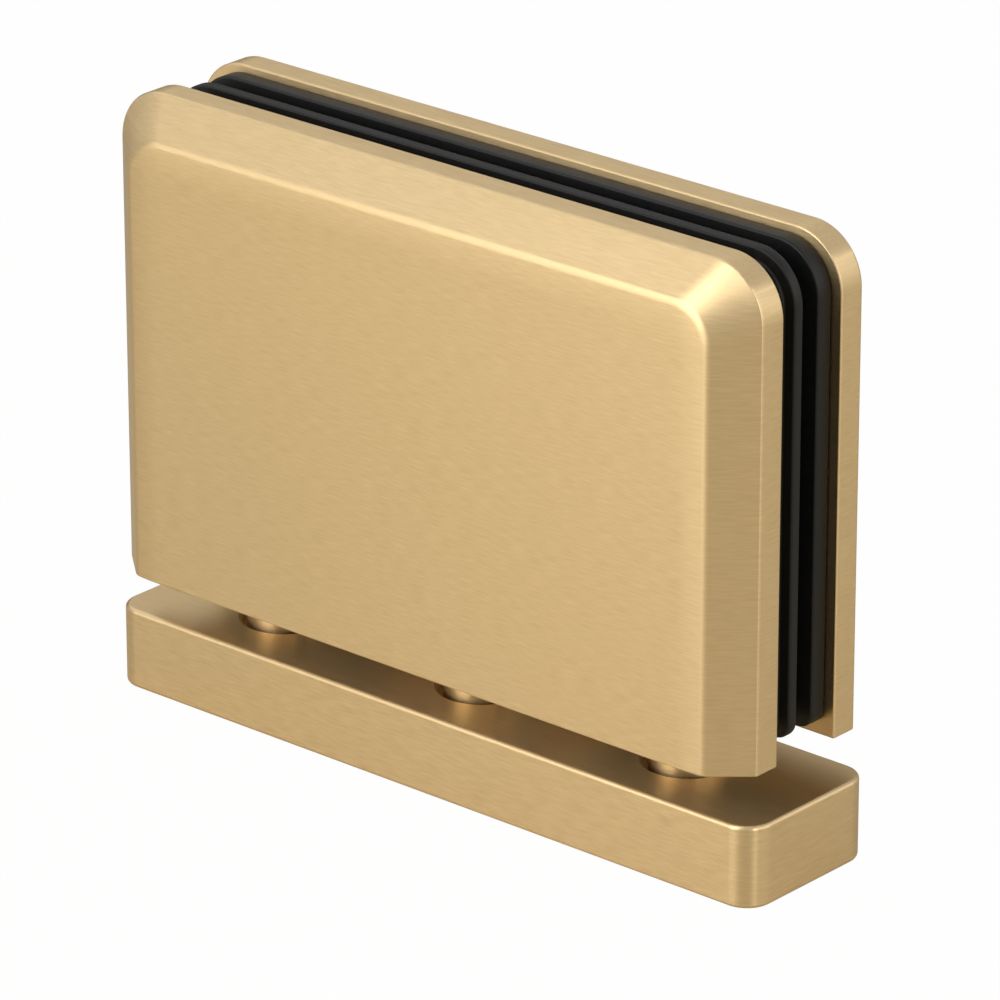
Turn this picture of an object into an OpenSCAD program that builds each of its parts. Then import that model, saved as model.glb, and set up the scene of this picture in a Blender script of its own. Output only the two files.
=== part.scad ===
// Floor-mounted pivot hinge for a glass door: a base bar with a fixed spindle,
// and a pair of bevelled clamp plates that grip the glass and turn on that spindle.
// Frame: X along the base bar, Y from the front plate to the back plate, Z up.
// Origin: on the pivot axis, at the underside of the base bar.

/* [Base bar] */
// Length of the base bar
base_l = 92; // [84:0.5:110]
// Depth of the base bar, front to back
base_d = 20; // [18:0.1:26]
// Height of the base bar
base_h = 9.5; // [9:0.1:14]
// Radius of the bar's upright corners
base_corner_r = 3.2; // [1.5:0.1:6]
// Chamfer along the bar's top and bottom edges
base_edge = 0.5; // [0.2:0.1:1]
// Distance from the pivot axis to each fixing sleeve
fixing_pitch = 29.1; // [26:0.1:36]

/* [Posts] */
// Diameter of the spindle's foot and of the fixing sleeves' heads
post_d = 8.6; // [8:0.1:9.6]
// Diameter of the round recess that each post stands in
recess_d = 9.7; // [9.7:0.1:11]
// Depth of that recess
recess_depth = 1.2; // [0.6:0.1:1.6]
// Chamfer round the rim of that recess
recess_rim = 0.4; // [0.1:0.1:0.5]
// Height of a fixing sleeve's head above the base bar
sleeve_proud = 3; // [1:0.1:4.4]
// Chamfer round the top of the posts
post_edge = 0.3; // [0.1:0.1:0.4]
// Diameter of the fixing sleeve's spigot in the bar
sleeve_spigot_d = 7; // [6.4:0.1:7.8]
// Bore of the fixing sleeve, for the floor screw
fixing_bore_d = 5.4; // [4.2:0.1:5.8]

/* [Clamp plates] */
// Gap between the base bar and the underside of the plates
floor_gap = 5.3; // [5:0.1:9]
// Width of a clamp plate
plate_w = 90; // [84:1:110]
// Height of a clamp plate
plate_h = 56; // [52:0.5:70]
// Radius of a plate's top corners
plate_r = 6.3; // [5.8:0.1:12]
// Thickness of a plate at its edge
plate_edge = 3.3; // [3.2:0.1:5]
// Depth of the bevel in front of that edge
bevel_depth = 3.9; // [2.4:0.1:5]
// Width of the bevel round the plate's sides and top
bevel_w = 4.3; // [2:0.1:5.8]
// How far the rounding of the ridge reaches to each side of it
ridge_soft = 0.7; // [0.2:0.1:0.7]
// Gap between the two plates, clamped up with no glass
plate_gap = 9.4; // [9.3:0.1:16]
// Depth of the pocket in each plate for the pivot block
pocket_depth = 2.5; // [2.2:0.1:3]

/* [Gaskets] */
// Inset of the gaskets from the plates' sides and underside
gasket_inset = 1.3; // [0.6:0.05:2.5]
// Inset of the gaskets from the plates' top
gasket_top = 0.8; // [0.4:0.05:2.5]
// Further inset of the land behind the front gasket's lip
land_inset = 1.5; // [0.6:0.1:3]
// Thickness of the front gasket's land
land_t = 3.4; // [1:0.1:4]
// Thickness of the front gasket's lip
lip_t = 1.4; // [0.8:0.1:2]
// Thickness of the back gasket
back_gasket_t = 2.2; // [1:0.1:3]
// Radius of the gaskets' bottom corners
gasket_foot_r = 1.9; // [0.5:0.1:4]
// Width of the notch in the gaskets and the glass
notch_w = 60; // [57:0.5:64]
// Height of that notch
notch_h = 40; // [39:0.5:44]

/* [Pivot] */
// Width of the pivot block
block_w = 30; // [28:0.5:34]
// Height of the pivot block
block_h = 31.4; // [28:0.2:31.6]
// Diameter of the spindle's journal
journal_d = 7; // [6:0.1:7.2]
// Depth to which the spindle's foot is let into the bar
foot_depth = 5.8; // [4.5:0.1:6]
// Wall of the two bushes
bush_wall = 1.2; // [0.8:0.1:1.3]
// Length of each bush, with its flange
bush_l = 9.6; // [6:0.2:11]
// Diameter of the bush flanges
flange_d = 12; // [11:0.1:12.6]
// Thickness of the bush flanges
flange_t = 1; // [0.6:0.1:1.4]
// Thickness of the washers under and over the bushes
washer_t = 0.8; // [0.5:0.1:1]

/* [Fasteners] */
// Diameter of the clamp screws
clamp_d = 5; // [4:0.5:5]
// Distance from the pivot axis to each clamp screw
clamp_pitch = 22.5; // [21.5:0.5:23.5]
// Height of the clamp screws above the plates' underside
clamp_z = 20; // [16:0.5:24]
// Outer diameter of the sleeves on the clamp screws
clamp_sleeve_d = 8; // [7.4:0.1:9]
// Diameter of the screws through the block
block_screw_d = 4; // [3:0.5:4]
// Distance from the pivot axis to each block screw
block_screw_pitch = 11; // [10.5:0.1:11.2]
// Diameter of the grub screw that sets the friction
grub_d = 5; // [4:0.5:6]
// Diameter of the screw that holds the spindle down
hold_down_d = 4; // [3:0.5:4]

/* [Hidden] */
$fn = 96;

// Clearances
seat_fit = 0.05;        // round parts that are pressed or screwed home
running_fit = 0.04;     // radial play of the journal in its bushes
thread_fit = 0.2;       // radial play of a screw where it would be threaded
pocket_fit = 0.3;       // round the pivot block in the plates' pockets
face_fit = 0.1;         // between the pivot block and the floor of each pocket
cut = 1;                // how far a cutting shape runs past a face

// Levels above the floor
plate_z = base_h + floor_gap;
recess_z = base_h - recess_depth;
foot_z = base_h - foot_depth;
block_lift = 0.1;       // the block's underside above the plates', so that the washer clears them
block_z = plate_z + block_lift;
block_top = block_z + block_h;
flange_proud = 0.4;     // how far each bush flange stands out of the block
shoulder_z = block_z - flange_proud - washer_t;
ring_gap = 0.1;         // play of the retaining ring, over the washer and in its groove
ring_t = 0.8;
ring_z = block_top + flange_proud + washer_t + ring_gap;
journal_end = 1.2;      // the journal's end above the retaining ring
journal_top = ring_z + ring_t + journal_end;
plug_z = block_z + block_h / 2;

// Across the clamp, from front to back
inner_y = plate_gap / 2;
outer_y = inner_y + plate_edge + bevel_depth;
pocket_y = inner_y + pocket_depth;
block_t = 2 * (pocket_y - face_fit);
pocket_w = block_w + 2 * pocket_fit;
pocket_margin = 0.5;    // the pockets stop this far below the top of the notch
pocket_h = notch_h - pocket_margin;

// Pivot parts
bush_od = journal_d + 2 * (bush_wall + running_fit);
washer_rim = 0.3;       // the washers reach this far past the bush flanges
washer_d = flange_d + 2 * washer_rim;
groove_depth = 0.7;
ring_d = journal_d + 3;
dowel_d = 1.2;
dowel_l = 3.6;
dowel_x = (post_d / 2 + hold_down_d / 2 + thread_fit) / 2;
dowel_drop = 1.2;       // how far the dowel reaches below the spindle's foot
dowel_z = foot_z - dowel_drop;
plug_d = grub_d - 0.4;
plug_l = 4;
plug_x = journal_d / 2 + running_fit;
grub_l = 6;
sleeve_rim = 0.5;       // flat left round the flare at the top of a fixing sleeve
sleeve_flare = (post_d - fixing_bore_d) / 2 - sleeve_rim;

// Screw heads: countersunk at 90 degrees, twice the shank across
function head_r(d) = d;
function head_depth(d) = d / 2;
function socket_r(d) = 0.32 * d;
head_inset = 0.15;      // heads sit just below the face
tip_gap = 0.4;          // a screw's tip stops this far short of its blind hole's end
front_wall = 1.6;       // metal left in front of the clamp screws' blind holes
thread_depth = plate_edge + bevel_depth - front_wall;
back_wall = 2;        // metal left behind the block screws' blind holes
block_screw_bite = plate_edge + bevel_depth - pocket_depth - back_wall;
block_screw_margin = 5.2;
block_screw_rows = [block_screw_margin, block_h - block_screw_margin];
hold_down_bite = shoulder_z - foot_z;

brass = [0.80, 0.68, 0.46];
black = [0.10, 0.10, 0.10];
nylon = [0.88, 0.87, 0.83];
steel = [0.72, 0.73, 0.74];

// A panel that stands on its lower edge, with its own radius for the top and the bottom corners
module panel_outline(w, h, top_r, foot_r) {
    translate([-w / 2, foot_r]) square([w, h - top_r - foot_r]);
    translate([-w / 2 + top_r, h - top_r]) square([w - 2 * top_r, top_r]);
    for (s = [-1, 1]) translate([s * (w / 2 - top_r), h - top_r]) circle(top_r);
    if (foot_r > 0) {
        translate([-w / 2 + foot_r, 0]) square([w - 2 * foot_r, foot_r]);
        for (s = [-1, 1]) translate([s * (w / 2 - foot_r), foot_r]) circle(foot_r);
    }
}

// Stands a flat outline up in the XZ plane, from y to y + t
module upright(y, t) {
    translate([0, y + t, 0]) rotate([90, 0, 0]) linear_extrude(t) children();
}

// A round rod along +Y
module rod_y(y, l, d) {
    translate([0, y, 0]) rotate([-90, 0, 0]) cylinder(h = l, d = d);
}

// A countersunk screw along +Z: the flat of its head at z = 0, its tip at z = length
module countersunk_screw(d, length) {
    difference() {
        union() {
            cylinder(h = head_depth(d), r1 = head_r(d), r2 = d / 2);
            cylinder(h = length, d = d);
        }
        translate([0, 0, -cut]) cylinder(h = cut + head_depth(d), r = socket_r(d), $fn = 6);
    }
}

// The hole for that screw: a seat for the head, then clearance for the shank
module countersunk_hole(d, depth) {
    cylinder(h = depth, r = d / 2 + thread_fit);
    cylinder(h = head_depth(d) + thread_fit, r1 = head_r(d) + thread_fit, r2 = d / 2);
    translate([0, 0, -cut]) cylinder(h = cut, r = head_r(d) + thread_fit);
}

// A round post along +Z whose top edge is chamfered
module post(h, d) {
    cylinder(h = h - post_edge, d = d);
    translate([0, 0, h - post_edge]) cylinder(h = post_edge, d1 = d, d2 = d - 2 * post_edge);
}

// A flat ring that stands on z = 0
module ring(od, id, t) {
    difference() {
        cylinder(h = t, d = od);
        translate([0, 0, -cut]) cylinder(h = t + 2 * cut, d = id);
    }
}

// The three places along the bar where a post stands
module at_posts() {
    for (x = [-fixing_pitch, 0, fixing_pitch]) translate([x, 0, 0]) children();
}

module at_fixings() {
    for (s = [-1, 1]) translate([s * fixing_pitch, 0, 0]) children();
}

module at_clamp_screws() {
    for (s = [-1, 1]) translate([s * clamp_pitch, 0, plate_z + clamp_z]) children();
}

module at_block_screws() {
    for (s = [-1, 1], z = block_screw_rows)
        translate([s * block_screw_pitch, 0, block_z + z]) children();
}

// Half the width of a bar at each level: plain sides between a chamfered top and bottom edge
function bar_profile(half) = [
    [0, 0], [half - base_edge, 0], [half, base_edge],
    [half, base_h - base_edge], [half - base_edge, base_h], [0, base_h]
];

// A straight length of that bar along X, centred
module bar_length(l, d)
    translate([-l / 2, 0, 0]) rotate([90, 0, 90]) linear_extrude(l)
        for (s = [0, 1]) mirror([s, 0]) polygon(bar_profile(d / 2));

// The bar's body: one length each way, with a turned column at each corner
module bar_body() {
    corner_x = base_l / 2 - base_corner_r;
    corner_y = base_d / 2 - base_corner_r;
    bar_length(2 * corner_x, base_d);
    rotate([0, 0, 90]) bar_length(2 * corner_y, base_l);
    for (sx = [-1, 1], sy = [-1, 1]) translate([sx * corner_x, sy * corner_y, 0])
        rotate_extrude() polygon(bar_profile(base_corner_r));
}

// The recess round a post, with a chamfer that runs out at the bar's top face
module post_recess() {
    translate([0, 0, recess_z]) cylinder(h = recess_depth + cut, d = recess_d);
    translate([0, 0, base_h - recess_rim])
        cylinder(h = recess_rim, d1 = recess_d, d2 = recess_d + 2 * recess_rim);
}

module base_plate() color(brass) difference() {
    bar_body();
    at_posts() post_recess();
    at_fixings() translate([0, 0, -cut]) cylinder(h = base_h, d = sleeve_spigot_d + 2 * seat_fit);
    translate([0, 0, foot_z]) cylinder(h = base_h, d = post_d + 2 * seat_fit);
    translate([0, 0, head_inset]) countersunk_hole(hold_down_d, foot_z + cut);
    spindle_dowel_hole();
}

// Spindle: a foot let into the bar, a shoulder for the thrust washer, and the journal
module pivot_spindle() color(brass) difference() {
    union() {
        translate([0, 0, foot_z]) post(shoulder_z - foot_z, post_d);
        translate([0, 0, foot_z]) post(journal_top - foot_z, journal_d);
    }
    translate([0, 0, ring_z - ring_gap / 2])
        ring(journal_d + cut, journal_d - 2 * groove_depth, ring_t + ring_gap);
    translate([0, 0, foot_z - cut]) cylinder(h = hold_down_bite + 2 * cut, r = hold_down_d / 2 + thread_fit);
    spindle_dowel_hole();
}

module hold_down_screw() color(steel)
    translate([0, 0, head_inset]) countersunk_screw(hold_down_d, foot_z - head_inset + hold_down_bite);

// A pin off the axis stops the spindle from turning in the bar
module spindle_dowel_hole()
    translate([dowel_x, 0, dowel_z]) cylinder(h = dowel_l + seat_fit, d = dowel_d + seat_fit, $fn = 32);

module spindle_dowel() color(steel)
    translate([dowel_x, 0, dowel_z]) cylinder(h = dowel_l, d = dowel_d, $fn = 32);

module thrust_washer() color(nylon)
    translate([0, 0, shoulder_z]) ring(washer_d, journal_d + 2 * seat_fit, washer_t);

module top_washer() color(nylon)
    translate([0, 0, block_top + flange_proud]) ring(washer_d, journal_d + 2 * seat_fit, washer_t);

// An open ring sprung into the spindle's groove
module retaining_ring() color(steel) translate([0, 0, ring_z]) difference() {
    ring(ring_d, journal_d - 2 * groove_depth + 2 * seat_fit, ring_t);
    translate([-journal_d / 4, 0, -cut]) cube([journal_d / 2, ring_d, ring_t + 2 * cut]);
}

// A headed sleeve that lines each floor screw's hole and stands proud of the bar
module fixing_sleeve() difference() {
    union() {
        cylinder(h = base_h, d = sleeve_spigot_d);
        translate([0, 0, recess_z]) post(recess_depth + sleeve_proud, post_d);
    }
    translate([0, 0, -cut]) cylinder(h = base_h + sleeve_proud + 2 * cut, d = fixing_bore_d);
    translate([0, 0, base_h + sleeve_proud - sleeve_flare])
        cylinder(h = sleeve_flare, d1 = fixing_bore_d, d2 = fixing_bore_d + 2 * sleeve_flare);
}

module fixing_sleeves() color(brass) at_fixings() fixing_sleeve();

module pivot_block() color(brass) difference() {
    translate([-block_w / 2, -block_t / 2, block_z]) cube([block_w, block_t, block_h]);
    translate([0, 0, block_z - cut]) cylinder(h = block_h + 2 * cut, d = bush_od + 2 * seat_fit);
    for (z = [block_z - cut, block_top - flange_t + flange_proud])
        translate([0, 0, z]) cylinder(h = cut + flange_t - flange_proud, d = flange_d + 2 * thread_fit);
    translate([0, 0, plug_z]) rotate([0, 90, 0]) cylinder(h = block_w, r = grub_d / 2 + seat_fit);
    at_block_screws() translate([0, -block_t / 2 + head_inset, 0]) rotate([-90, 0, 0])
        countersunk_hole(block_screw_d, block_t);
}

// A flanged bush that stands on its flange
module bush() difference() {
    union() {
        cylinder(h = bush_l, d = bush_od);
        cylinder(h = flange_t, d = flange_d);
    }
    translate([0, 0, -cut]) cylinder(h = bush_l + 2 * cut, d = journal_d + 2 * running_fit);
}

module lower_bush() color(nylon) translate([0, 0, block_z - flange_proud]) bush();

module upper_bush() color(nylon)
    translate([0, 0, block_top + flange_proud]) mirror([0, 0, 1]) bush();

// A nylon plug that the grub screw presses against the journal
module friction_plug() color(nylon) translate([0, 0, plug_z]) rotate([0, 90, 0]) difference() {
    cylinder(h = plug_x + plug_l, d = plug_d);
    rotate([0, -90, 0]) translate([0, 0, -grub_d]) cylinder(h = 2 * grub_d, r = plug_x);
}

module friction_screw() color(steel) translate([plug_x + plug_l, 0, plug_z]) rotate([0, 90, 0]) difference() {
    cylinder(h = grub_l, d = grub_d);
    translate([0, 0, grub_l - grub_d / 2]) cylinder(h = grub_d, r = socket_r(grub_d), $fn = 6);
}

module block_screws() color(steel)
    at_block_screws() translate([0, -block_t / 2 + head_inset, 0]) rotate([-90, 0, 0])
        countersunk_screw(block_screw_d, block_t / 2 - head_inset + pocket_y + block_screw_bite - tip_gap);

// A clamp plate with its inner face on y = 0, its front towards -Y and its underside on z = 0
module clamp_plate_blank() {
    upright(-plate_edge, plate_edge) panel_outline(plate_w, plate_h, plate_r, 0);
    translate([0, -plate_edge, 0]) bevelled_front();
}

// One layer of a plate, whose sides and top slope from one inset to the next, with cones at the
// corners and a plain cut below
module bevel_layer(from, to, depth) {
    straight_h = plate_h - plate_r;
    corner_x = plate_w / 2 - plate_r;
    half = plate_w / 2;
    linear_extrude(straight_h)
        polygon([[from - half, 0], [half - from, 0], [half - to, -depth], [to - half, -depth]]);
    translate([-corner_x, 0, straight_h]) rotate([90, 0, 90]) linear_extrude(2 * corner_x)
        polygon([[0, 0], [0, plate_r - from], [-depth, plate_r - to], [-depth, 0]]);
    for (s = [-1, 1]) translate([s * corner_x, 0, straight_h]) rotate([90, 0, 0])
        cylinder(h = depth, r1 = plate_r - from, r2 = plate_r - to);
}

// The bevelled front: the slope itself, then a flatter layer that softens its ridge
module bevelled_front() {
    slope_depth = bevel_depth * (1 - ridge_soft / bevel_w);
    bevel_layer(0, bevel_w - ridge_soft, slope_depth);
    translate([0, -slope_depth, 0])
        bevel_layer(bevel_w - ridge_soft, bevel_w + ridge_soft, bevel_depth - slope_depth);
}

// The pocket for the pivot block, cut into a plate's inner face
module block_pocket()
    translate([-pocket_w / 2, -pocket_depth, -cut]) cube([pocket_w, pocket_depth + cut, pocket_h + cut]);

module front_plate() color(brass) difference() {
    translate([0, -inner_y, plate_z]) difference() {
        clamp_plate_blank();
        block_pocket();
    }
    at_clamp_screws() rod_y(-inner_y - thread_depth, thread_depth + cut, clamp_d + 2 * thread_fit);
}

module back_plate() color(brass) difference() {
    mirror([0, 1, 0]) translate([0, -inner_y, plate_z]) difference() {
        clamp_plate_blank();
        block_pocket();
    }
    at_clamp_screws() translate([0, outer_y - head_inset, 0]) rotate([90, 0, 0])
        countersunk_hole(clamp_d, plate_edge + bevel_depth + cut);
    at_block_screws() rod_y(pocket_y - cut, block_screw_bite + cut, block_screw_d + 2 * thread_fit);
}

// The outline of a gasket, with its insets from the plates and the extra inset i all round, and with
// the notch cut from its foot
module gasket_outline(i) {
    side = gasket_inset + i;
    top = gasket_top + i;
    difference() {
        translate([0, side])
            panel_outline(plate_w - 2 * side, plate_h - side - top, plate_r - side / 2, gasket_foot_r);
        translate([-notch_w / 2, -cut]) square([notch_w, notch_h + cut]);
    }
}

module front_gasket() color(black) translate([0, 0, plate_z]) {
    upright(-inner_y, land_t) gasket_outline(land_inset);
    upright(-inner_y + land_t, lip_t) gasket_outline(0);
}

module back_gasket() color(black) translate([0, 0, plate_z])
    upright(inner_y - back_gasket_t, back_gasket_t) gasket_outline(0);

module clamp_screws() color(steel)
    at_clamp_screws() translate([0, outer_y - head_inset, 0]) rotate([90, 0, 0])
        countersunk_screw(clamp_d, outer_y - head_inset + inner_y + thread_depth - tip_gap);

// A soft sleeve on each clamp screw keeps the glass off the metal
module clamp_sleeves() color(nylon)
    at_clamp_screws() translate([0, inner_y, 0]) rotate([90, 0, 0])
        ring(clamp_sleeve_d, clamp_d + 2 * thread_fit, plate_gap - pocket_fit);

base_plate();
pivot_spindle();
hold_down_screw();
spindle_dowel();
thrust_washer();
top_washer();
retaining_ring();
fixing_sleeves();
pivot_block();
lower_bush();
upper_bush();
friction_plug();
friction_screw();
block_screws();
back_plate();
back_gasket();
clamp_screws();
clamp_sleeves();
front_plate();
front_gasket();
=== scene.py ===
import math

import bmesh
import bpy
from mathutils import Matrix, Vector


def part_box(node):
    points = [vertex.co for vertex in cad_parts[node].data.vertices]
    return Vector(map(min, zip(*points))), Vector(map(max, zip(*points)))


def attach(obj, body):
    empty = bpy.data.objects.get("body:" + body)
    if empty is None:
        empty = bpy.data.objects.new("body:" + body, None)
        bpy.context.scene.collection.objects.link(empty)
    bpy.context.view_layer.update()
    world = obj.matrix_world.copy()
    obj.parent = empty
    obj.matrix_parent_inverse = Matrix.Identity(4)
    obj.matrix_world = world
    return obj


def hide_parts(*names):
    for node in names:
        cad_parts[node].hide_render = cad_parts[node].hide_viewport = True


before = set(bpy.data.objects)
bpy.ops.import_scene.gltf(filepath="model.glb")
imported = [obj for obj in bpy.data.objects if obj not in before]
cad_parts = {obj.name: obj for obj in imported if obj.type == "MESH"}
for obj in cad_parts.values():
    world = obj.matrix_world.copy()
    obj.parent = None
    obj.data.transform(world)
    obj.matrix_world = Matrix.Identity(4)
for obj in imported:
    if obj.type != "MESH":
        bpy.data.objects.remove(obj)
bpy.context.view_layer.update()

MM = 0.001


def box_mm(node):
    """The low and the high corner of a CAD node's box, in millimetres."""
    low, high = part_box(node)
    return low / MM, high / MM


# Sizes read from the solid model, in millimetres
bar_low, bar_high = box_mm("base_plate")
plate_low, plate_high = box_mm("front_plate")
lip_low, lip_high = box_mm("front_gasket")
pad_low, pad_high = box_mm("back_gasket")
spindle_low, spindle_high = box_mm("pivot_spindle")
ring_low, ring_high = box_mm("retaining_ring")
screws_low, screws_high = box_mm("clamp_screws")
block_screws_low, block_screws_high = box_mm("block_screws")
sleeve_high = box_mm("fixing_sleeves")[1]
block_high = box_mm("pivot_block")[1]
washer_low = box_mm("thrust_washer")[0]

BASE_H = bar_high.z
POST_R = spindle_high.x
SHOULDER_Z = washer_low.z
FIXING_X = sleeve_high.x - POST_R
PLATE_Z = plate_low.z
PLATE_TOP = plate_high.z
PLATE_HALF = plate_high.x
INNER_Y = -plate_high.y
FACE_Y = -plate_low.y
CLAMP_Z = (screws_low.z + screws_high.z) / 2
CLAMP_HEAD_R = (screws_high.z - screws_low.z) / 2
CLAMP_X = screws_high.x - CLAMP_HEAD_R

# Sizes that the boxes don't show, the same as in the solid model
BASE_CORNER_R = 3.2
BASE_EDGE = 0.5
RECESS_R = 4.85
RECESS_Z = BASE_H - 1.2
RECESS_RIM = 0.4
SPIGOT_R = 3.5
FIXING_BORE_R = 2.7
SLEEVE_FLARE = 1.1
POST_EDGE = 0.3
SEAT_FIT = 0.05
THREAD_FIT = 0.2
HOLD_DOWN_R = 2
PLATE_R = 6.3
EDGE_Y = INNER_Y + 3.3
BEVEL_W = 4.3
POCKET_FIT = 0.3
POCKET_DEPTH = 2.5
NOTCH_HALF = 30
NOTCH_H = 40
POCKET_H = NOTCH_H - 0.5
LAND_INSET = 1.5
LIP_T = 1.4
GASKET_FOOT_R = 1.9
JOURNAL_R = 3.5
GROOVE_R = JOURNAL_R - 0.7
CLAMP_R = 2.5
HEAD_INSET = 0.15
BLOCK_SCREW_R = 2
BLOCK_SCREW_HEAD_R = 4
TIP_GAP = 0.4
SOCKET_R = 0.64 * CLAMP_R

# Roundings that only the look needs, in millimetres
FACE_R = 4.6
RIDGE_SOFT = 0.55
CROWN_W = 2.2
CROWN_DROP = 0.17
CROWN_SOFT = 1.4
ARRIS = 0.22
RUBBER_EDGE = 0.3
HEAD_EDGE = 0.25
HEAD_EDGE_H = 0.15
SCREW_TIP = 0.5

# How far a cutter reaches past the face that it opens, in millimetres
PAST = 1

# Margin for picking what lies above a level, in millimetres
PICK_SLACK = 0.2


# Modelling helpers


def near(a, b):
    """Whether two lengths in millimetres are the same, apart from rounding."""
    return abs(a - b) < 0.02


def use(piece):
    """Leaves only this piece selected, in object mode."""
    if bpy.context.object and bpy.context.object.mode != "OBJECT":
        bpy.ops.object.mode_set(mode="OBJECT")
    bpy.ops.object.select_all(action="DESELECT")
    if piece:
        piece.select_set(True)
        bpy.context.view_layer.objects.active = piece


def settle(name):
    """Names the object just added and puts its place into its mesh."""
    piece = bpy.context.object
    piece.name = name
    piece.data.name = name
    bpy.ops.object.transform_apply(location=True, rotation=True, scale=True)
    return piece


def block(name, low, high):
    """A cube stretched between two corners."""
    use(None)
    middle = [(a + b) / 2 * MM for a, b in zip(low, high)]
    bpy.ops.mesh.primitive_cube_add(size=1, location=middle)
    bpy.context.object.scale = [(b - a) * MM for a, b in zip(low, high)]
    return settle(name)


def pick(piece, kind, test):
    """Goes into edit mode with only the faces, edges or points that pass the test selected."""
    use(piece)
    bpy.ops.object.mode_set(mode="EDIT")
    bpy.ops.mesh.select_mode(type=kind)
    bpy.ops.mesh.select_all(action="DESELECT")
    shape = bmesh.from_edit_mesh(piece.data)
    for part in {"FACE": shape.faces, "EDGE": shape.edges, "VERT": shape.verts}[kind]:
        part.select_set(bool(test(part)))
    shape.select_flush_mode()
    bmesh.update_edit_mesh(piece.data)


def round_edges(piece, test, radius, segments):
    """Bevels the edges whose two ends, in millimetres, pass the test."""
    pick(piece, "EDGE", lambda edge: test(*(v.co / MM for v in edge.verts)))
    bpy.ops.mesh.bevel(offset=radius * MM, segments=segments, profile=0.5, affect="EDGES")
    use(piece)


def soften(piece, width, segments, angle=30):
    """Rounds every arris that is sharper than the angle."""
    use(piece)
    bpy.ops.object.modifier_add(type="BEVEL")
    bevel = piece.modifiers[-1]
    bevel.width = width * MM
    bevel.segments = segments
    bevel.limit_method = "ANGLE"
    bevel.angle_limit = math.radians(angle)
    bpy.ops.object.modifier_apply(modifier=bevel.name)


def cut(piece, cutter):
    """Takes the cutter's shape out of the piece, and then removes the cutter."""
    use(piece)
    bpy.ops.object.modifier_add(type="BOOLEAN")
    tool = piece.modifiers[-1]
    tool.operation = "DIFFERENCE"
    tool.solver = "EXACT"
    tool.object = cutter
    bpy.ops.object.modifier_apply(modifier=tool.name)
    bpy.data.objects.remove(cutter)


def turned(name, profile, sides=72):
    """A solid turned about Z through a list of (radius, height), closed at both ends."""
    use(None)
    radius, height = profile[0]
    bpy.ops.mesh.primitive_circle_add(
        vertices=sides, radius=radius * MM, fill_type="NGON", location=(0, 0, height * MM)
    )
    piece = settle(name)
    bpy.ops.object.mode_set(mode="EDIT")
    bpy.ops.mesh.select_mode(type="FACE")
    bpy.ops.mesh.select_all(action="SELECT")
    for (r0, z0), (r1, z1) in zip(profile, profile[1:]):
        bpy.ops.mesh.extrude_region_move(TRANSFORM_OT_translate={"value": (0, 0, (z1 - z0) * MM)})
        bpy.ops.transform.resize(value=(r1 / r0, r1 / r0, 1), center_override=(0, 0, z1 * MM))
    bpy.ops.mesh.select_all(action="SELECT")
    bpy.ops.mesh.normals_make_consistent(inside=False)
    use(piece)
    return piece


def place(piece, offset=(0, 0, 0), turn_x=0):
    """Turns a piece about X and moves it, and puts both into its mesh."""
    use(piece)
    piece.rotation_euler = (math.radians(turn_x), 0, 0)
    piece.location = [a * MM for a in offset]
    bpy.ops.object.transform_apply(location=True, rotation=True, scale=True)
    return piece


def copy_beside(piece, name, step):
    """A second piece with a mesh of its own, moved along by the step."""
    use(piece)
    bpy.ops.object.duplicate(linked=False)
    bpy.context.object.location = [a * MM for a in step]
    return settle(name)


def join(name, pieces):
    """One piece made of several that don't touch."""
    use(pieces[0])
    for piece in pieces:
        piece.select_set(True)
    bpy.ops.object.join()
    return settle(name)


def shade(piece, angle=35):
    """Smooth shading that keeps wide faces flat beside their small roundings."""
    use(piece)
    bpy.ops.object.shade_smooth_by_angle(angle=math.radians(angle))
    bpy.ops.object.modifier_add(type="WEIGHTED_NORMAL")
    weighted = piece.modifiers[-1]
    weighted.keep_sharp = True
    bpy.ops.object.modifier_apply(modifier=weighted.name)


def dress(piece, body, slot, material, *nodes):
    """Gives a finished piece its material and its body, and lets it stand for CAD nodes."""
    shade(piece)
    piece.data.materials.clear()
    piece.data.materials.append(material)
    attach(piece, body)
    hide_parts(*nodes)


# Materials


class Nodes:
    """A short way to add nodes to one material and join them up."""

    def __init__(self, tree):
        self.tree = tree

    def add(self, kind, **settings):
        node = self.tree.nodes.new(kind)
        for name, value in settings.items():
            setattr(node, name, value)
        return node

    def link(self, source, target):
        self.tree.links.new(source, target)


def new_material(name):
    """A material with its nodes and its main shader."""
    material = bpy.data.materials.new(name)
    material.use_nodes = True
    return material, Nodes(material.node_tree), material.node_tree.nodes["Principled BSDF"]


def stretched_noise(nodes, scale, detail=3):
    """Noise on Object coordinates, with a frequency of its own along each axis."""
    coords = nodes.add("ShaderNodeTexCoord")
    mapping = nodes.add("ShaderNodeMapping")
    mapping.inputs["Scale"].default_value = scale
    noise = nodes.add("ShaderNodeTexNoise")
    noise.inputs["Scale"].default_value = 1
    noise.inputs["Detail"].default_value = detail
    nodes.link(coords.outputs["Object"], mapping.inputs["Vector"])
    nodes.link(mapping.outputs["Vector"], noise.inputs["Vector"])
    return noise.outputs["Fac"]


def ranged(nodes, value, low, high, to_low, to_high):
    """A value moved from one range to another and held inside it."""
    node = nodes.add("ShaderNodeMapRange")
    node.inputs["From Min"].default_value = low
    node.inputs["From Max"].default_value = high
    node.inputs["To Min"].default_value = to_low
    node.inputs["To Max"].default_value = to_high
    nodes.link(value, node.inputs["Value"])
    return node.outputs["Result"]


def blend_values(nodes, factor, a, b):
    node = nodes.add("ShaderNodeMix", data_type="FLOAT")
    nodes.link(factor, node.inputs["Factor"])
    nodes.link(a, node.inputs["A"])
    nodes.link(b, node.inputs["B"])
    return node.outputs["Result"]


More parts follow.
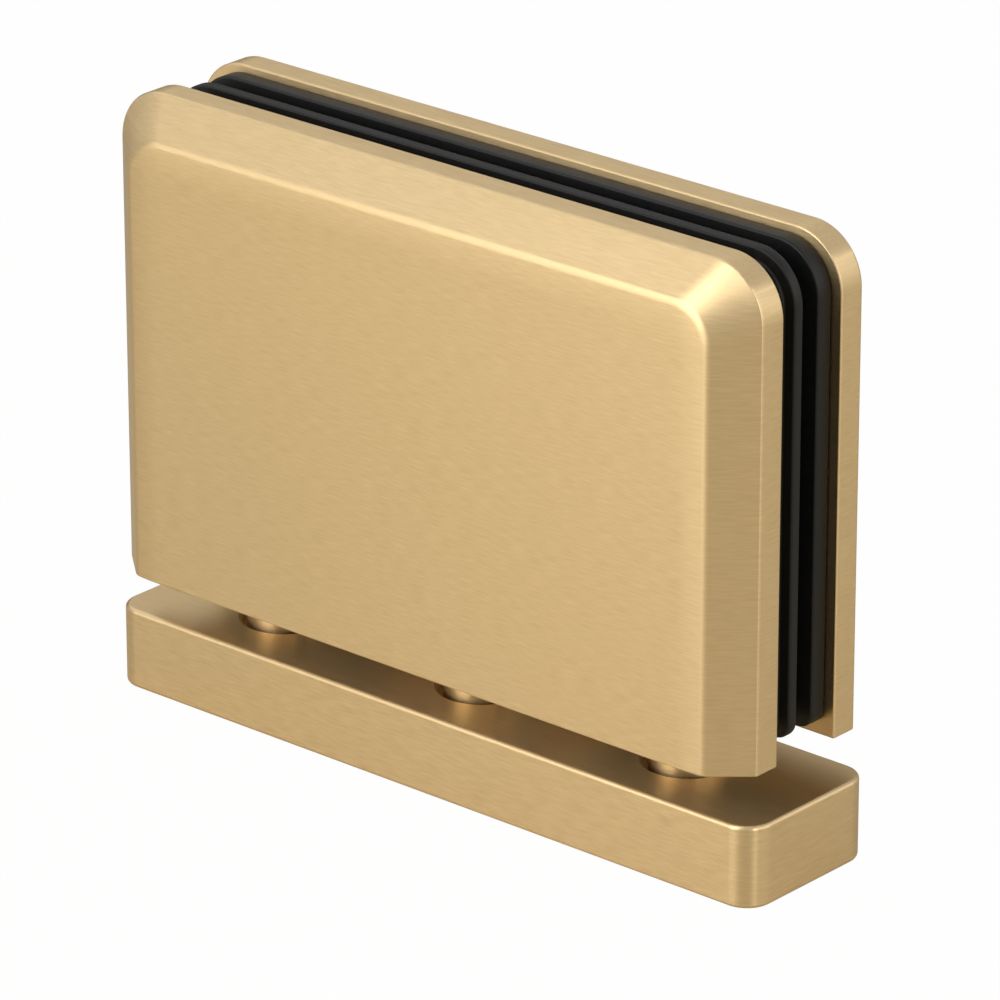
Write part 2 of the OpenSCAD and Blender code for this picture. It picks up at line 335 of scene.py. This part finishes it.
def linear(rgb):
    """A colour in 0 to 255 as the linear values that shaders take."""
    return [(c / 255 / 12.92) if c <= 10 else ((c / 255 + 0.055) / 1.055) ** 2.4 for c in rgb]


# Nearly all of a noise lies between these two values
NOISE_LOW = 0.3
NOISE_HIGH = 0.7


def vary_colour(nodes, shader, grain, dark, light):
    """Lets the grain run the base colour from the dark one to the light one."""
    mix = nodes.add("ShaderNodeMix", data_type="RGBA")
    mix.inputs["A"].default_value = (*linear(dark), 1)
    mix.inputs["B"].default_value = (*linear(light), 1)
    nodes.link(ranged(nodes, grain, NOISE_LOW, NOISE_HIGH, 0, 1), mix.inputs["Factor"])
    nodes.link(mix.outputs["Result"], shader.inputs["Base Color"])


def vary_roughness(nodes, shader, grain, roughness, spread):
    """Lets the grain move the roughness up and down by the spread."""
    varied = ranged(nodes, grain, NOISE_LOW, NOISE_HIGH, roughness - spread, roughness + spread)
    nodes.link(varied, shader.inputs["Roughness"])


def add_bump(nodes, shader, height, strength, distance):
    """Fine relief that only the shading shows."""
    bump = nodes.add("ShaderNodeBump")
    bump.inputs["Strength"].default_value = strength
    bump.inputs["Distance"].default_value = distance
    nodes.link(height, bump.inputs["Height"])
    nodes.link(bump.outputs["Normal"], shader.inputs["Normal"])


# Waves per metre of the brushing, along and across its scratches
ALONG = 420
ACROSS = 5600


def facing_up(nodes, from_slope, to_slope):
    """1 on faces that look up or down, 0 on upright ones, with a blend between the two slopes."""
    geometry = nodes.add("ShaderNodeNewGeometry")
    split = nodes.add("ShaderNodeSeparateXYZ")
    size = nodes.add("ShaderNodeMath", operation="ABSOLUTE")
    nodes.link(geometry.outputs["Normal"], split.inputs["Vector"])
    nodes.link(split.outputs["Z"], size.inputs[0])
    return ranged(nodes, size.outputs["Value"], from_slope, to_slope, 0, 1)


def brushed_brass(name, dark, light, roughness):
    """Brass with level scratches on its upright faces, and scratches along X on faces that look up."""
    material, nodes, shader = new_material(name)
    looks_up = facing_up(nodes, from_slope=0.5, to_slope=0.6)
    upright = stretched_noise(nodes, (ALONG, ALONG, ACROSS))
    level = stretched_noise(nodes, (ALONG, ACROSS, ACROSS))
    grain = blend_values(nodes, looks_up, upright, level)
    vary_colour(nodes, shader, grain, dark, light)
    vary_roughness(nodes, shader, grain, roughness, spread=0.03)
    shader.inputs["Metallic"].default_value = 1
    shader.inputs["Anisotropic"].default_value = 0.75
    shader.inputs["Anisotropic Rotation"].default_value = 0.25
    around = nodes.add("ShaderNodeTangent", direction_type="RADIAL", axis="Z")
    scratch = nodes.add("ShaderNodeMix", data_type="VECTOR")
    scratch.inputs["B"].default_value = (1, 0, 0)
    nodes.link(looks_up, scratch.inputs["Factor"])
    nodes.link(around.outputs["Tangent"], scratch.inputs["A"])
    nodes.link(scratch.outputs["Result"], shader.inputs["Tangent"])
    add_bump(nodes, shader, grain, strength=0.1, distance=0.03 * MM)
    return material


def plain_finish(name, dark, light, roughness, metallic, waves, relief):
    """A moulded or turned surface with a fine texture of so many waves per metre along each axis."""
    material, nodes, shader = new_material(name)
    texture = stretched_noise(nodes, waves)
    vary_colour(nodes, shader, texture, dark, light)
    vary_roughness(nodes, shader, texture, roughness, spread=0.04)
    shader.inputs["Metallic"].default_value = metallic
    add_bump(nodes, shader, texture, strength=0.2, distance=relief * MM)
    return material


# Colours in 0 to 255, the darker one of each pair first
BRASS = (213, 186, 140), (223, 197, 151)
RUBBER = (15, 15, 15), (21, 21, 21)
NYLON = (224, 221, 212), (232, 229, 220)
STEEL = (182, 183, 186), (194, 195, 198)

satin_brass = brushed_brass("satin_brass_brushed", *BRASS, roughness=0.4)
turned_brass = plain_finish(
    "turned_brass", *BRASS, roughness=0.36, metallic=1, waves=(300, 300, 5200), relief=0.02
)
black_rubber = plain_finish(
    "black_rubber_moulded", *RUBBER, roughness=0.48, metallic=0, waves=(2600, 2600, 2600), relief=0.02
)
black_rubber.node_tree.nodes["Principled BSDF"].inputs["Specular IOR Level"].default_value = 0.32
white_nylon = plain_finish(
    "white_nylon_moulded", *NYLON, roughness=0.5, metallic=0, waves=(1800, 1800, 1800), relief=0.02
)
turned_steel = plain_finish(
    "turned_steel", *STEEL, roughness=0.3, metallic=1, waves=(900, 900, 900), relief=0.01
)


# Base bar and posts


def recess_and_rim():
    """The upper part of a post's recess, from its floor to a chamfer that runs past the top face."""
    return [
        (RECESS_R, RECESS_Z),
        (RECESS_R, BASE_H - RECESS_RIM),
        (RECESS_R + RECESS_RIM, BASE_H),
        (RECESS_R + RECESS_RIM, BASE_H + PAST),
    ]


def base_bar():
    """The bar on the floor, with a stepped hole for each post."""
    bar = block("base_bar", bar_low, bar_high)
    round_edges(bar, lambda a, b: near(a.x, b.x) and near(a.y, b.y), BASE_CORNER_R, segments=16)
    soften(bar, BASE_EDGE, segments=4, angle=45)
    fixing_r = SPIGOT_R + SEAT_FIT
    for x in (-FIXING_X, FIXING_X):
        hole = turned("fixing_hole", [(fixing_r, -PAST), (fixing_r, RECESS_Z)] + recess_and_rim())
        cut(bar, place(hole, (x, 0, 0)))
    head_r = 2 * HOLD_DOWN_R + THREAD_FIT
    shank_r = HOLD_DOWN_R + THREAD_FIT
    foot_r = POST_R + SEAT_FIT
    spindle_hole = [
        (head_r, -PAST),
        (head_r, HEAD_INSET),
        (shank_r, HEAD_INSET + HOLD_DOWN_R),
        (shank_r, spindle_low.z),
        (foot_r, spindle_low.z),
        (foot_r, RECESS_Z),
    ]
    cut(bar, turned("spindle_hole", spindle_hole + recess_and_rim()))
    dress(bar, "base", "satin_brass", satin_brass, "base_plate")


def pivot_spindle():
    """The middle post, with its journal and the groove of the retaining ring."""
    spindle = turned("pivot_spindle_turned", [
        (POST_R - POST_EDGE, spindle_low.z),
        (POST_R, spindle_low.z + POST_EDGE),
        (POST_R, SHOULDER_Z - POST_EDGE),
        (POST_R - POST_EDGE, SHOULDER_Z),
        (JOURNAL_R, SHOULDER_Z),
        (JOURNAL_R, ring_low.z),
        (GROOVE_R, ring_low.z),
        (GROOVE_R, ring_high.z),
        (JOURNAL_R, ring_high.z),
        (JOURNAL_R, spindle_high.z - POST_EDGE),
        (JOURNAL_R - POST_EDGE, spindle_high.z),
    ])
    dress(spindle, "base", "satin_brass", satin_brass, "pivot_spindle")


def fixing_sleeves():
    """The outer posts, bored for the floor screws."""
    top = sleeve_high.z
    sleeve = turned("sleeve_left", [
        (SPIGOT_R, 0),
        (SPIGOT_R, RECESS_Z),
        (POST_R, RECESS_Z),
        (POST_R, top - POST_EDGE),
        (POST_R - POST_EDGE, top),
    ])
    bore = turned("sleeve_bore", [
        (FIXING_BORE_R, -PAST),
        (FIXING_BORE_R, top - SLEEVE_FLARE),
        (FIXING_BORE_R + SLEEVE_FLARE, top),
        (FIXING_BORE_R + SLEEVE_FLARE, top + PAST),
    ])
    cut(sleeve, bore)
    place(sleeve, (-FIXING_X, 0, 0))
    other = copy_beside(sleeve, "sleeve_right", (2 * FIXING_X, 0, 0))
    pair = join("fixing_sleeves_turned", [sleeve, other])
    dress(pair, "base", "satin_brass", satin_brass, "fixing_sleeves")


# Clamp plates


def raise_face(plate, side, width, from_y, to_y):
    """Insets the outer face and raises it, and takes its lower edge back down to the plate's foot."""
    pick(plate, "FACE", lambda face: face.normal.y * side > 0.9)
    bpy.ops.mesh.inset(thickness=width * MM, depth=(to_y - from_y) * MM)
    pick(plate, "VERT", lambda v: near(v.co.y / MM, side * to_y) and near(v.co.z / MM, PLATE_Z + width))
    bpy.ops.transform.translate(value=(0, 0, -width * MM))


def open_corners(plate, side, ridge_y):
    """Opens out the face's top corners from the tips where its sides would meet."""
    tip_x = PLATE_HALF - BEVEL_W
    tip_z = PLATE_TOP - BEVEL_W
    start_z = tip_z - (PLATE_R - BEVEL_W) - PICK_SLACK
    wider = FACE_R / (PLATE_R - BEVEL_W)

    def in_corner(point, end):
        x, y, z = point.co / MM
        return near(y, side * ridge_y) and x * end > 0 and z > start_z

    for end in (-1, 1):
        pick(plate, "VERT", lambda v: in_corner(v, end))
        tip = (end * tip_x * MM, 0, tip_z * MM)
        bpy.ops.transform.resize(value=(wider, 1, wider), center_override=tip)


def plate_blank(name, side):
    """A bevelled plate with its roundings. side is -1 for the front plate and 1 for the back plate."""
    y0, y1 = sorted((side * INNER_Y, side * EDGE_Y))
    plate = block(name, (-PLATE_HALF, y0, PLATE_Z), (PLATE_HALF, y1, PLATE_TOP))
    round_edges(
        plate,
        lambda a, b: near(a.x, b.x) and near(a.z, PLATE_TOP) and near(b.z, PLATE_TOP),
        PLATE_R,
        segments=28,
    )
    # The bevel comes first, and then the face, which falls away a little towards the ridge
    ridge_y = FACE_Y - CROWN_DROP
    raise_face(plate, side, BEVEL_W, EDGE_Y, ridge_y)
    open_corners(plate, side, ridge_y)
    raise_face(plate, side, CROWN_W, ridge_y, FACE_Y)
    # The flat faces at the foot become one
    pick(plate, "FACE", lambda face: face.normal.z < -0.9)
    bpy.ops.mesh.dissolve_limited(angle_limit=math.radians(1))

    def along(a, b, level):
        above_foot = max(a.z, b.z) > PLATE_Z + PICK_SLACK
        return near(a.y, side * level) and near(b.y, side * level) and above_foot

    # The fall of the face and the ridge beside the bevel are softly rounded
    round_edges(plate, lambda a, b: along(a, b, FACE_Y), CROWN_SOFT, segments=6)
    round_edges(plate, lambda a, b: along(a, b, ridge_y), RIDGE_SOFT, segments=8)
    soften(plate, ARRIS, segments=3)
    pocket_half = block_high.x + POCKET_FIT
    y0, y1 = sorted((side * (INNER_Y - PAST), side * (INNER_Y + POCKET_DEPTH)))
    pocket = block("pocket", (-pocket_half, y0, PLATE_Z - PAST), (pocket_half, y1, PLATE_Z + POCKET_H))
    cut(plate, pocket)
    return plate


def front_plate():
    """The plate in front, with a blind hole for each clamp screw."""
    plate = plate_blank("front_plate_bevelled", -1)
    hole_r = CLAMP_R + THREAD_FIT
    depth = -INNER_Y - screws_low.y + TIP_GAP
    for x in (-CLAMP_X, CLAMP_X):
        hole = turned("blind_hole", [(hole_r, -PAST), (hole_r, depth)])
        cut(plate, place(hole, (x, -INNER_Y, CLAMP_Z), turn_x=90))
    dress(plate, "front_clamp", "satin_brass", satin_brass, "front_plate")


def back_plate():
    """The plate behind, countersunk for the clamp screws and drilled for the block's screws."""
    plate = plate_blank("back_plate_bevelled", 1)
    hole_r = CLAMP_R + THREAD_FIT
    head_r = CLAMP_HEAD_R + THREAD_FIT
    for x in (-CLAMP_X, CLAMP_X):
        hole = turned("countersink", [
            (head_r, -PAST),
            (head_r, HEAD_INSET),
            (hole_r, HEAD_INSET + CLAMP_R),
            (hole_r, FACE_Y - INNER_Y + PAST),
        ])
        cut(plate, place(hole, (x, FACE_Y, CLAMP_Z), turn_x=90))
    screw_x = block_screws_high.x - BLOCK_SCREW_HEAD_R
    hole_r = BLOCK_SCREW_R + THREAD_FIT
    end_y = block_screws_high.y + TIP_GAP
    lower_z = block_screws_low.z + BLOCK_SCREW_HEAD_R
    upper_z = block_screws_high.z - BLOCK_SCREW_HEAD_R
    for x in (-screw_x, screw_x):
        for z in (lower_z, upper_z):
            hole = turned("block_screw_hole", [(hole_r, INNER_Y), (hole_r, end_y)])
            cut(plate, place(hole, (x, 0, z), turn_x=-90))
    dress(plate, "leaf", "satin_brass", satin_brass, "back_plate")


# Gaskets


def gasket_blank(name, y0, y1):
    """A pad with rounded corners, between two levels of y."""
    half = pad_high.x
    pad = block(name, (-half, y0, pad_low.z), (half, y1, pad_high.z))
    top_r = PLATE_R - (PLATE_HALF - half) / 2

    def at_corner(a, b, level):
        return near(a.x, b.x) and near(abs(a.x), half) and near(a.z, level) and near(b.z, level)

    round_edges(pad, lambda a, b: at_corner(a, b, pad_high.z), top_r, segments=20)
    round_edges(pad, lambda a, b: at_corner(a, b, pad_low.z), GASKET_FOOT_R, segments=20)
    return pad


def cut_notch(pad):
    """Takes out the room of the pivot block, as the notch in the glass does."""
    low = (-NOTCH_HALF, -INNER_Y - PAST, PLATE_Z - PAST)
    high = (NOTCH_HALF, INNER_Y + PAST, PLATE_Z + NOTCH_H)
    cut(pad, block("notch", low, high))


def front_gasket():
    """The gasket in front: a lip all round, and a smaller land that bears on the plate."""
    land_y = lip_high.y - LIP_T
    pad = gasket_blank("front_gasket_moulded", land_y, lip_high.y)
    pick(pad, "FACE", lambda face: face.normal.y < -0.9)
    bpy.ops.mesh.inset(thickness=LAND_INSET * MM)
    land_step = (0, (lip_low.y - land_y) * MM, 0)
    bpy.ops.mesh.extrude_region_move(TRANSFORM_OT_translate={"value": land_step})
    use(pad)
    cut_notch(pad)
    soften(pad, RUBBER_EDGE, segments=3, angle=50)
    dress(pad, "front_clamp", "black_rubber", black_rubber, "front_gasket")


def back_gasket():
    """The plain gasket behind."""
    pad = gasket_blank("back_gasket_moulded", pad_low.y, pad_high.y)
    cut_notch(pad)
    soften(pad, RUBBER_EDGE, segments=3, angle=50)
    dress(pad, "leaf", "black_rubber", black_rubber, "back_gasket")


# Clamp screws


def clamp_screws():
    """Countersunk screws with a hex socket, driven from the back face."""
    head_y = screws_high.y
    length = head_y - screws_low.y
    screw = turned("clamp_screw_left", [
        (CLAMP_HEAD_R - HEAD_EDGE, 0),
        (CLAMP_HEAD_R, HEAD_EDGE_H),
        (CLAMP_R, CLAMP_R),
        (CLAMP_R, length - SCREW_TIP),
        (CLAMP_R - SCREW_TIP, length),
    ])
    use(None)
    bpy.ops.mesh.primitive_cylinder_add(vertices=6, radius=SOCKET_R * MM, depth=2 * CLAMP_R * MM)
    cut(screw, settle("hex_socket"))
    place(screw, (-CLAMP_X, head_y, CLAMP_Z), turn_x=90)
    other = copy_beside(screw, "clamp_screw_right", (2 * CLAMP_X, 0, 0))
    pair = join("clamp_screws_turned", [screw, other])
    dress(pair, "leaf", "steel", turned_steel, "clamp_screws")


base_bar()
pivot_spindle()
fixing_sleeves()
front_plate()
back_plate()
front_gasket()
back_gasket()
clamp_screws()

# Finishes of the pieces that stay as the solid model has them
kept_finishes = {
    "hold_down_screw": turned_steel,
    "spindle_dowel": turned_steel,
    "retaining_ring": turned_steel,
    "friction_screw": turned_steel,
    "block_screws": turned_steel,
    "thrust_washer": white_nylon,
    "top_washer": white_nylon,
    "lower_bush": white_nylon,
    "upper_bush": white_nylon,
    "friction_plug": white_nylon,
    "clamp_sleeves": white_nylon,
    "pivot_block": turned_brass,
}
for node_name, finish in kept_finishes.items():
    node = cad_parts[node_name]
    node.data.materials.clear()
    node.data.materials.append(finish)


# Camera at the photograph's viewing angle


def direction(azimuth, elevation):
    """The way out from the hinge, with the azimuth counted from the front towards the right."""
    az, el = math.radians(azimuth), math.radians(elevation)
    return Vector((math.sin(az) * math.cos(el), -math.cos(az) * math.cos(el), math.sin(el)))


def look_from(azimuth, elevation, roll, distance, target, focal_length):
    """A camera that looks at the target, with lengths in millimetres and angles in degrees."""
    back = direction(azimuth, elevation)
    right = direction(azimuth + 90, 0)
    up = back.cross(right)
    tilt = math.radians(roll)
    tilted_right = math.cos(tilt) * right + math.sin(tilt) * up
    tilted_up = math.cos(tilt) * up - math.sin(tilt) * right
    lens = bpy.data.cameras.new("camera")
    lens.sensor_width = 36
    lens.lens = focal_length
    lens.clip_start = 0.01
    camera = bpy.data.objects.new("camera", lens)
    bpy.context.scene.collection.objects.link(camera)
    axes = Matrix((tilted_right, tilted_up, back)).transposed().to_4x4()
    camera.matrix_world = Matrix.Translation((Vector(target) + back * distance) * MM) @ axes
    bpy.context.scene.camera = camera


look_from(
    azimuth=41.187, elevation=22.409, roll=-0.051,
    distance=760.623, target=(-0.619, 3.658, 29.973), focal_length=253.515,
)


# Floor, studio and lamps, in metres

# How far the floor lies below the bar's underside, so that the two faces don't mix
FLOOR_DROP = 0.02 * MM

# Where the lamps look
HINGE_MIDDLE = Vector((0, 0, 0.04))


def white_for(nodes, camera_share, glossy_share):
    """How much of the plain white background a ray sees: most from the camera, less in metal."""
    rays = nodes.add("ShaderNodeLightPath")
    seen = nodes.add("ShaderNodeMath", operation="MULTIPLY")
    seen.inputs[1].default_value = camera_share
    nodes.link(rays.outputs["Is Camera Ray"], seen.inputs[0])
    for kind in ("Is Glossy Ray", "Is Transmission Ray"):
        more = nodes.add("ShaderNodeMath", operation="MULTIPLY_ADD", use_clamp=True)
        more.inputs[1].default_value = glossy_share
        nodes.link(rays.outputs[kind], more.inputs[0])
        nodes.link(seen.outputs["Value"], more.inputs[2])
        seen = more
    return seen.outputs["Value"]


def floor(colour, camera_share, glossy_share):
    """A pale floor that the camera sees as nearly white, with a faint shadow."""
    use(None)
    bpy.ops.mesh.primitive_plane_add(size=4, location=(0, 0, -FLOOR_DROP))
    ground = settle("floor")
    material, nodes, shader = new_material("pale_floor")
    shader.inputs["Base Color"].default_value = (*colour, 1)
    shader.inputs["Roughness"].default_value = 0.9
    shader.inputs["Specular IOR Level"].default_value = 0
    white = nodes.add("ShaderNodeEmission")
    mix = nodes.add("ShaderNodeMixShader")
    nodes.link(white_for(nodes, camera_share, glossy_share), mix.inputs["Fac"])
    nodes.link(shader.outputs["BSDF"], mix.inputs[1])
    nodes.link(white.outputs["Emission"], mix.inputs[2])
    surface = material.node_tree.nodes["Material Output"].inputs["Surface"]
    nodes.link(mix.outputs["Shader"], surface)
    ground.data.materials.append(material)


def studio(strength, glossy_share):
    """An even room that the camera sees as white."""
    world = bpy.data.worlds.new("studio")
    bpy.context.scene.world = world
    world.use_nodes = True
    nodes = Nodes(world.node_tree)
    room = world.node_tree.nodes["Background"]
    room.inputs["Color"].default_value = (1, 1, 1, 1)
    room.inputs["Strength"].default_value = strength
    white = nodes.add("ShaderNodeBackground")
    white.inputs["Color"].default_value = (1, 1, 1, 1)
    mix = nodes.add("ShaderNodeMixShader")
    nodes.link(white_for(nodes, camera_share=1, glossy_share=glossy_share), mix.inputs["Fac"])
    nodes.link(room.outputs["Background"], mix.inputs[1])
    nodes.link(white.outputs["Background"], mix.inputs[2])
    nodes.link(mix.outputs["Shader"], world.node_tree.nodes["World Output"].inputs["Surface"])


def softbox(name, azimuth, elevation, distance, width, height, radiance):
    """An area lamp that looks at the middle of the hinge. A radiance of 1 is white."""
    away = direction(azimuth, elevation)
    lamp = bpy.data.lights.new(name, "AREA")
    lamp.shape = "RECTANGLE"
    lamp.size = width
    lamp.size_y = height
    lamp.energy = radiance * math.pi * width * height
    holder = bpy.data.objects.new(name, lamp)
    bpy.context.scene.collection.objects.link(holder)
    holder.visible_camera = False
    holder.location = away * distance + HINGE_MIDDLE
    holder.rotation_euler = away.to_track_quat("Z", "Y").to_euler()


def back_flag(azimuth, distance, width, height):
    """A dark card behind the hinge that the camera doesn't see. It keeps the bar's top face dark."""
    away = direction(azimuth, 0)
    use(None)
    bpy.ops.mesh.primitive_plane_add(size=1)
    card = bpy.context.object
    card.scale = (width, height, 1)
    card.rotation_euler = away.to_track_quat("Z", "Y").to_euler()
    card.location = away * distance + Vector((0, 0, height / 2))
    settle("back_flag")
    card.visible_camera = False
    material, _, shader = new_material("dark_card")
    shader.inputs["Base Color"].default_value = (0.03, 0.03, 0.03, 1)
    shader.inputs["Roughness"].default_value = 0.9
    card.data.materials.append(material)


bpy.context.scene.view_settings.view_transform = "Standard"
floor(colour=(0.58, 0.5, 0.33), camera_share=0.985, glossy_share=0.2)
back_flag(azimuth=221, distance=0.5, width=0.8, height=0.25)
studio(strength=0.4, glossy_share=0.5)
softbox(
    "front_left_panel", azimuth=-16.5, elevation=17,
    distance=0.6, width=0.44, height=0.38, radiance=2.9,
)
softbox(
    "left_strip", azimuth=-46, elevation=13,
    distance=0.7, width=0.14, height=0.3, radiance=1.05,
)
softbox(
    "overhead_left", azimuth=-103, elevation=45,
    distance=1.0, width=1.0, height=0.8, radiance=0.4,
)
softbox(
    "right_panel", azimuth=112, elevation=19,
    distance=0.6, width=0.6, height=0.42, radiance=1,
)
softbox(
    "right_strip", azimuth=70, elevation=18,
    distance=0.8, width=0.07, height=0.6, radiance=8,
)
softbox(
    "corner_spot", azimuth=-8, elevation=42,
    distance=0.8, width=0.4, height=0.4, radiance=2.3,
)
